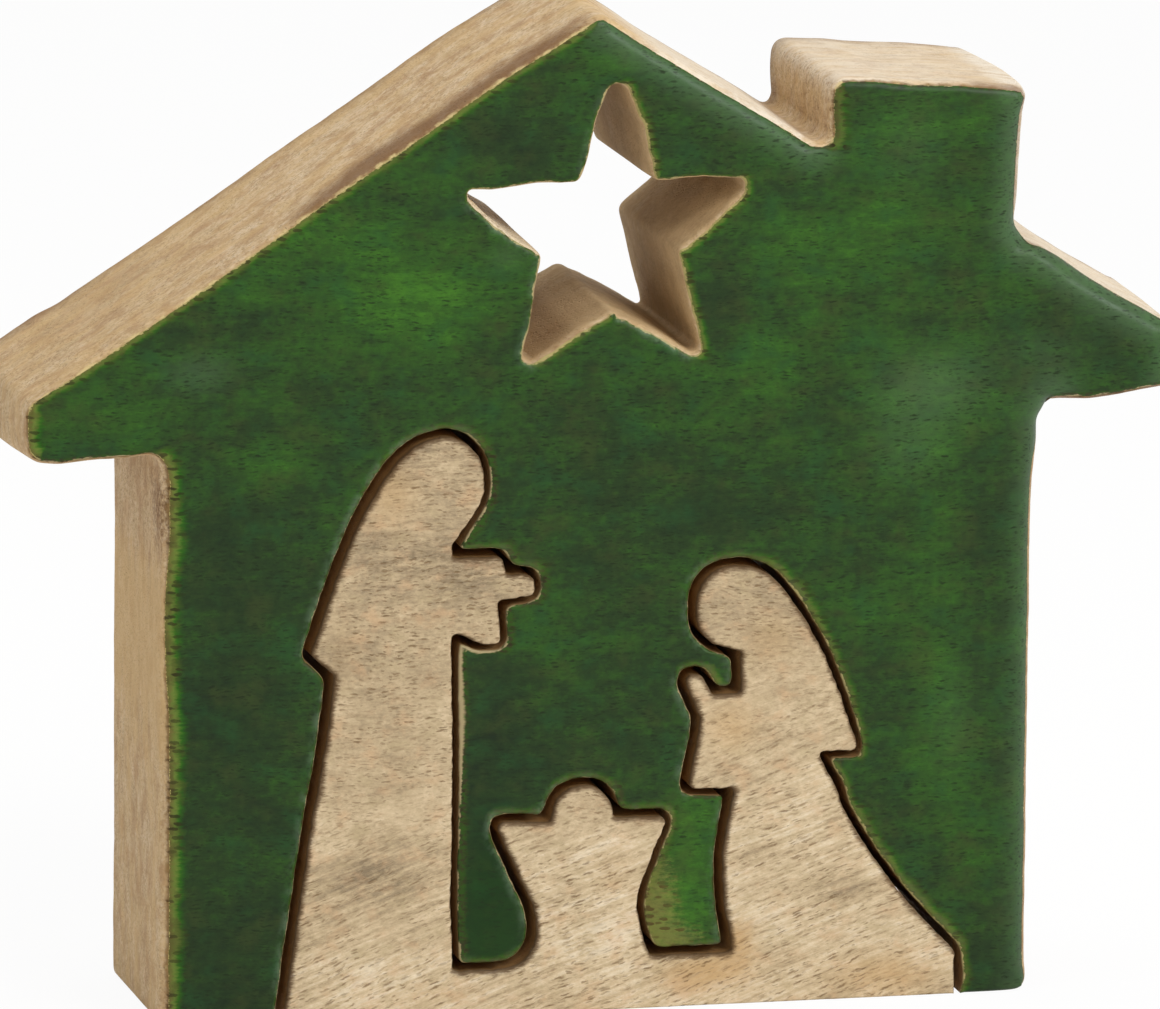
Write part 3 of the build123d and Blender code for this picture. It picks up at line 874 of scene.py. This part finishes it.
def board_outline(loop):
    """Hand-sawn outline of the board with its pocket."""
    group_points = resampled(section_loops("nativity_insert")[0], True)[0]
    points, sharp = resampled(loop, True)
    points = eased(points, ~sharp[:, None], 2)
    floor = points[:, 1] < FLOOR_HEIGHT
    pocket = (nearest(search_tree(group_points), points)[0] < POCKET_REACH) & ~floor
    points = eased(points, pocket[:, None], 8)
    outer = ~pocket & ~floor
    points = rounded_feet(pushed_right(points, outer), floor)
    points = np.where(outer[:, None], nudged(points, BOARD_SHIFTS), points)
    points = np.where(pocket[:, None], nudged(points, GROUP_SHIFTS), points)
    lift = smooth(points[:, 1], 0, RAGGED_FROM)
    points += (nudged(points, POCKET_SHIFTS) - points) * (pocket * lift)[:, None]
    sawn = 0.1 * waver(points, 1.9, seed=1) + 0.06 * waver(points, 0.7, seed=2)
    sanded = 0.12 * waver(points, 13.0, seed=3) + 0.05 * waver(points, 2.5, seed=4)
    return Board(points, np.where(pocket, sawn, sanded) * lift, pocket, floor)


def star_outline(loop):
    """Hand-sawn outline of the star window."""
    points, sharp = resampled(loop, False)
    return Outline(nudged(eased(points, ~sharp[:, None], 2), STAR_SHIFTS), 0.08 * waver(points, 1.6, seed=5))


def front_rounding(board):
    """Radius of the sanded front edges: widest on the right, small in the pocket."""
    rub = rubbed(board.points, 5.0, 1.2, seed=6)
    outer = 1.3 + 1.6 * board.right + 0.75 * board.on_wall + 0.25 * rub - patches(board.points, CRISP_EAVE)
    pocket = 0.22 + 0.4 * board.right + 0.15 * board.low + 0.15 * rub
    return board.fitted(np.where(board.floor, 0.6, np.where(board.pocket, pocket, outer)))


def coat_depth(board, radius):
    """How far back the coat wraps over the front edges."""
    x, z = board.points.T
    to_right = 0.15 + 0.45 * smooth(x, 27, 40) * (0.05 + 0.95 * smooth(z, 66, 72))
    to_right *= 1 - 0.85 * smooth(x, 24, 30) * smooth(z, 95, 100)
    share = 0.25 + board.right * to_right + 0.3 * board.high * smooth(x, 53, 56) - 0.15 * board.on_wall
    share += 0.12 * board.left * smooth(-x, 48, 52) * bell(z, 52, 8)
    return np.where(board.outer, np.maximum(COAT, radius * share), COAT)


def back_flare(board):
    """How far the roof, chimney and left eave spread towards the back."""
    x, z = board.points.T
    roof = 0.4 + 0.25 * smooth(-x, 0, 5) - 0.15 * smooth(-x, 20, 30) + 0.15 * smooth(-x, 40, 60)
    roof += 0.35 * smooth(x, 48, 54) - 0.25 * smooth(x, 6, 10) - 0.1 * smooth(x, 62, 66)
    stack = 0.7 * board.left + 0.3 * board.right * (1 - smooth(z, 106, 112))
    eave = 0.8 * smooth(-x, 62, 66) * (board.left + board.low)
    flare = roof * board.high * (1 - board.on_stack) + stack * board.on_stack + eave
    return eased(np.where(board.outer, flare, 0), True, 8) * board.outer


def board_edges(board):
    """Edges and walls of the board."""
    front = front_rounding(board)
    back = board.fitted(np.where(board.pocket, 0.2, np.where(board.floor, 0.15, 0.7)))
    uneven = np.where(board.outer, 0.15, 0)
    bulge = patches(board.points, CHIMNEY_BULGE)
    return Edges(front, coat_depth(board, front), back, uneven, back_flare(board), bulge)


def star_edges(star):
    """Edges and walls of the star window."""
    x, z = star.points.T
    high = star.facing(0, 1)
    crisp = patches(star.points, CRISP_STAR_ARM) * high
    front = star.fitted(0.75 + 0.5 * high - crisp + 0.3 * waver(star.points, 1.4, seed=8))
    flare = 0.45 + 0.1 * star.facing(0, 1, 0.3, 0.8) * smooth(-x, 4, 6) * smooth(z, 90, 92)
    return Edges(front, COAT, star.fitted(0.25), uneven=0.1, flare=flare, bulge=0.0)


def add_layers(coat, block, outline, edges):
    """Edge and walls of one saw line: end rings of the coat and of the board, and where the coat ends."""
    front, coat_end, behind = all_rings(outline, edges, seed=9)
    return *coat.wrap(front + [coat_end]), *block.wrap([coat_end] + behind), coat_end[0]


def board_habits(board):
    """Habits of the coat along the board's edges, a row for each point."""
    left, right, high, low = board.left, board.right, board.high, board.low
    points, pocket = board.points, board.pocket
    vary = 1 + 0.35 * waver(points, 6.0, seed=10) + 0.25 * waver(points, 1.8, seed=19)
    outer_reach = 0.25 + 1.5 * left + 0.4 * left * (1 - high) + 0.3 * low
    reach = np.where(pocket, 0.45 + 0.8 * left + 0.7 * low, outer_reach) * vary
    rim = np.where(pocket, 0.06 + 0.1 * left, 0.02 + 0.1 * left * high + 0.1 * low) * vary
    rim += np.where(pocket, patches(points, ROBE_STRIP), 0)
    crowd = np.where(high > 0.3, 1.0, np.clip(0.6 + 0.8 * waver(points, 8.0, seed=20), 0.1, 1))
    ticks = np.where(pocket, 0.15 + 0.45 * left, 0.1 + 0.9 * left * crowd)
    spill = np.where(high * left > 0.3, 0.3, 0.6)
    pocket_vivid = 0.4 * left * smooth(points[:, 0], 0, 10) + 0.3 * low
    vivid = np.where(pocket, pocket_vivid, left * (1 - 0.75 * board.on_stack))
    # Painted highlight beside pocket edges that face right and down.
    halo = np.where(pocket, 0.9 * right + 0.4 * low, 0)
    return np.column_stack(Habits(reach, rim, ticks, spill, vivid, halo))


def star_habits(star):
    """Habits of the coat along the star's edges, a row for each point."""
    left = star.facing(-1, 0, 0.0, 0.7)
    # Painted highlight beside star edges that face up and right.
    halo = star.facing(1, 1, 0.2, 1.0)
    lively = 0.3 + 0.4 * left
    spill = np.full(len(left), 0.3)
    return np.column_stack(Habits(0.5 + 0.8 * left, 0.18 + 0.1 * left, lively, spill, lively, halo))


def sink_front(piece, gaps):
    """Front face worn back a little towards its edges."""
    fall = 0.3 * near(gaps.outer, 4.0) + 0.1 * near(gaps.pocket, 1.5) + 0.12 * near(gaps.star, 1.6)
    fall += 0.35 * near(gaps.right, 6.0) + 0.05 * waver(piece.points, 16.0, seed=11)
    piece.points[:, 1] += fall * (1 - smooth(piece.points[:, 1], FRONT + 0.5, FRONT + 4.0))


def coat_data(piece, gaps, habits):
    """Vertex data of the coat."""
    xz = piece.xz()
    # Grey-blue patches, and a painted highlight along the right-facing edges, stronger on the eave and
    # chimney.
    dusty = patches(xz, DUST_AND_HIGHLIGHT_STAIN) + (0.9 + 0.5 * smooth(xz[:, 1], 72, 78)) * bell(gaps.right, 0, 3.5)
    return {
        "rim": (gaps.coat, habits.reach, np.maximum(habits.rim, 0.01)),
        "stain": (patches(xz, BRIGHT_STAIN), dusty, habits.ticks),
        # Worn stain, vivid edges and the share of painted highlight.
        "wear_and_highlight": (patches(xz, WORN_STAIN), habits.vivid, habits.halo),
    }


def smudges(piece, at_outline):
    """Brown smudges along the left roof and the right and back edges, and painted shade below the star."""
    x, y, z = piece.points.T
    along_roof = 1.4 * bell(x, -28, 10) + 1.2 * bell(x, -10, 8)
    total = bell(y, FRONT, 5) * along_roof * smooth(z, 60, 90)
    total += 0.8 * smooth(x, 44, 47) * bell(y, FRONT, 2.5)
    total += 0.5 * bell(y, BACK, 3.5) * smooth(z, 70, 80)
    # Below the star the darkening is painted shade on its lower walls.
    return total * at_outline + patches(piece.xz(), STAR_PAINTED_SHADE) * smooth(z, 60, 75)


def golden_wood(piece, at_outline):
    """Golden wood low on the left wall and along the back of the left roof."""
    x, y, z = piece.points.T
    on_wall = smooth(-x, 50, 52) * (1 - smooth(z, 71, 73)) * (1.2 * bell(z, 47, 10) - 0.8 * bell(z, 64, 6))
    on_roof = smooth(-x, 8, 14) * smooth(x, -58, -45) * smooth(z, 76, 80)
    return on_wall + bell(y, BACK, 3.5) * on_roof * at_outline


def soot_specks(piece):
    """Dark specks below the left eave and on the left side of the chimney."""
    x, y, z = piece.points.T
    on_wall = smooth(-x, 50, 52) * (1 - smooth(z, 71, 73)) * bell(z, 65, 6) * bell(y, -12, 5)
    on_stack = bell(x, 29, 2) * smooth(z, 103, 106) * (1 - smooth(z, 114.5, 116))
    return 0.6 * on_wall + 0.4 * on_stack


def bleached_wood(piece, at_outline):
    """Pale wood on the chimney, on the roof below it and by the ridge."""
    x, _, z = piece.points.T
    on_top = smooth(x, 25, 28) * smooth(z, 112, 116)
    below = smooth(x, 48, 52) * smooth(z, 73, 76)
    by_ridge = smooth(x, 1, 9) * (1 - smooth(x, 24, 27)) * smooth(z, 104, 108)
    return (0.75 * on_top + 0.9 * below + 0.9 * by_ridge) * at_outline


def wood_shade(piece, at_outline):
    """How pale the board is: more so up the left roof, less by its eave."""
    x, y, z = piece.points.T
    on_roof = smooth(z, 75, 80)
    shade = 0.6 + 0.4 * smooth(x, -60, -20) * smooth(z, 80, 90)
    shade -= 0.7 * bell(x, -60, 10) * bell(y, 6, 8) * on_roof
    return shade + 0.4 * bell(x, -32, 10) * on_roof * at_outline


def block_data(piece, gaps, habits):
    """Vertex data of the bare board."""
    at_outline = 1 - smooth(gaps.outer, 1, 3)
    # Painted light on the lower wall of the star's left arm, which also gets a few soot specks.
    pale = patches(piece.xz(), STAR_PAINTED_LIGHT) * (1 - smooth(gaps.star, 0.5, 1.5))
    soot = soot_specks(piece) + 0.7 * pale
    return {
        "edges": (gaps.pocket, gaps.star, bleached_wood(piece, at_outline)),
        "stain": (wood_shade(piece, at_outline), smudges(piece, at_outline), habits.spill),
        "tints_and_light": (golden_wood(piece, at_outline), soot, pale),
    }


def make_house():
    """Stable board and its green front, from the CAD board's section."""
    outer_loop, star_loop = section_loops("house_block")
    board, star = board_outline(outer_loop), star_outline(star_loop)
    coat, block = Piece(), Piece()
    layers = [add_layers(coat, block, board, board_edges(board)),
              add_layers(coat, block, star, star_edges(star))]
    coat_fronts, coat_backs, block_fronts, block_backs, (board_end, star_end) = zip(*layers)
    coat.fill(coat_fronts, FRONT, True, FRONT_NET)
    coat.fill(coat_backs, FRONT + COAT, False)
    block.fill(block_fronts, FRONT + COAT, True)
    block.fill(block_backs, BACK, False, BACK_NET)
    coat_tree = search_tree(np.vstack([board_end[~board.floor], star_end]))
    habits = np.vstack([board_habits(board)[~board.floor], star_habits(star)])
    to_right = board.outer & (board.right > 0.4)
    trees = [search_tree(points) for points in
             (board.points[board.pocket], star.points, board.points[board.outer], board.points[to_right])]
    for piece, vertex_data in ((coat, coat_data), (block, block_data)):
        gap, number = nearest(coat_tree, piece.xz())
        gaps = Gaps(*(nearest(tree, piece.xz())[0] for tree in trees), gap)
        sink_front(piece, gaps)
        piece.data = vertex_data(piece, gaps, Habits(*habits[number].T))
    return coat, block


def group_data(piece, outline, floor):
    """Vertex data of the group."""
    # Edges facing left and up get a wider dark band: scorched wood and painted shade of the saw gap's wall.
    painted_shade_side = np.maximum(outline.facing(-1, 0, -0.1, 0.7), outline.facing(0, 1, -0.1, 0.7))
    reach = (0.16 + 0.6 * painted_shade_side) * (1 + 0.5 * waver(outline.points, 3.0, seed=17))
    reach = np.where(floor, 0.01, reach)
    xz = piece.xz()
    x, z = xz.T
    gap, number = nearest(search_tree(outline.points), xz)
    climb_top = 32 + 28 * smooth(x, 2, 12)
    lean = 1 - smooth(z + 7 * waver(piece.points, 18.0, seed=18), 16, climb_top)
    shade = patches(xz, PALE_WOOD) + 0.5 - 0.8 * smooth(z, 5, 60)
    return {
        "rim": (gap, reach[number], lean),
        "stain": (shade, patches(xz, WARM_WOOD), np.zeros(len(xz))),
    }


def make_group():
    """Nativity group, from its CAD solid's section."""
    points, sharp = resampled(section_loops("nativity_insert")[0], True)
    floor = points[:, 1] < FLOOR_HEIGHT
    points = eased(eased(points, ~sharp[:, None], 2), ~floor[:, None], 2)
    points = nudged(points, GROUP_SHIFTS)
    sawn = 0.14 * waver(points, 1.7, seed=12) + 0.1 * waver(points, 0.7, seed=13)
    outline = Outline(points, sawn * smooth(points[:, 1], 0, RAGGED_FROM))
    radius = outline.fitted(0.28 + 0.2 * rubbed(outline.points, 4.0, 1.1, seed=14))
    edges = Edges(radius, COAT, outline.fitted(0.3), uneven=0.0, flare=0.0, bulge=0.0)
    front, coat_end, behind = all_rings(outline, edges, seed=16)
    piece = Piece()
    first, last = piece.wrap(front + [coat_end] + behind)
    piece.fill([first], FRONT, True, FRONT_NET)
    piece.fill([last], BACK, False, BACK_NET)
    piece.data = group_data(piece, outline, floor)
    return piece


def add_light(name, place, size, power, colour):
    light = bpy.data.lights.new(name, "AREA")
    light.shape = "DISK"
    light.size = size
    light.energy = power
    light.color = colour
    made = placed(name, light)
    made.location = place
    made.rotation_euler = (Vector(LIT_PLACE) - Vector(place)).to_track_quat("-Z", "Y").to_euler()


def white_when_seen(graph, other, output, share):
    """White where the camera, glossy or clear surfaces look; the other shader elsewhere."""
    path = graph.node("ShaderNodeLightPath", {}).outputs
    seen = path["Is Camera Ray"]
    for label in ("Is Glossy Ray", "Is Transmission Ray"):
        seen = graph.math("MAXIMUM", seen, path[label])
    white = graph.node("ShaderNodeEmission", {"Color": WHITE})
    inputs = {0: graph.times(seen, share), 1: other.outputs[0], 2: white.outputs[0]}
    mixed = graph.node("ShaderNodeMixShader", inputs)
    graph.node(output, {"Surface": mixed.outputs[0]})


def make_floor():
    """Plain pale floor, nearly white to the camera but for the object's shadow."""
    mesh = bpy.data.meshes.new("floor")
    mesh.from_pydata(FLOOR_CORNERS, [], [(0, 1, 2, 3)])
    floor = placed("floor", mesh)
    graph = Graph(bpy.data.materials.new("pale_floor"))
    plain = graph.node("ShaderNodeBsdfDiffuse", {"Color": paint("floor")})
    white_when_seen(graph, plain, "ShaderNodeOutputMaterial", FLOOR_WHITE)
    mesh.materials.append(graph.owner)


def make_world():
    """White surroundings that give a soft light from all sides."""
    world = bpy.data.worlds.new("studio")
    bpy.context.scene.world = world
    graph = Graph(world)
    soft = graph.node("ShaderNodeBackground", {"Color": WHITE, "Strength": WORLD_STRENGTH})
    white_when_seen(graph, soft, "ShaderNodeOutputWorld", 1.0)


def make_camera():
    """Camera of the photograph: a long lens, left of and above the front."""
    ahead = Vector((sin(AZIMUTH) * cos(PITCH), cos(AZIMUTH) * cos(PITCH), -sin(PITCH)))
    level = Vector((cos(AZIMUTH), -sin(AZIMUTH), 0))
    upright = level.cross(ahead)
    right = cos(ROLL) * level + sin(ROLL) * upright
    above = cos(ROLL) * upright - sin(ROLL) * level
    place = (above * MIDDLE_HEIGHT - ahead * FOCAL) / PIXELS_PER_MM - Vector(CAMERA_OFFSET)
    data = bpy.data.cameras.new("camera")
    data.sensor_fit = "HORIZONTAL"
    data.sensor_width = 36.0
    data.lens = data.sensor_width * FOCAL / PHOTO_WIDTH
    data.clip_end = 20.0
    camera = placed("camera", data)
    turn = Matrix((right, above, -ahead)).transposed().to_4x4()
    camera.matrix_world = Matrix.Translation(place * MM) @ turn
    bpy.context.scene.camera = camera


make_camera()
make_floor()
make_world()
for lamp in LAMPS:
    add_light(*lamp)
coat, block = make_house()
mesh_object("stable_board", block, "house", board_material(), "house_block")
mesh_object("green_front", coat, "house", coat_material(), "green_front_coat")
group = make_group()
mesh_object("figure_group", group, "nativity_group", group_material(), "nativity_insert")
bpy.context.scene.view_settings.view_transform = "Standard"
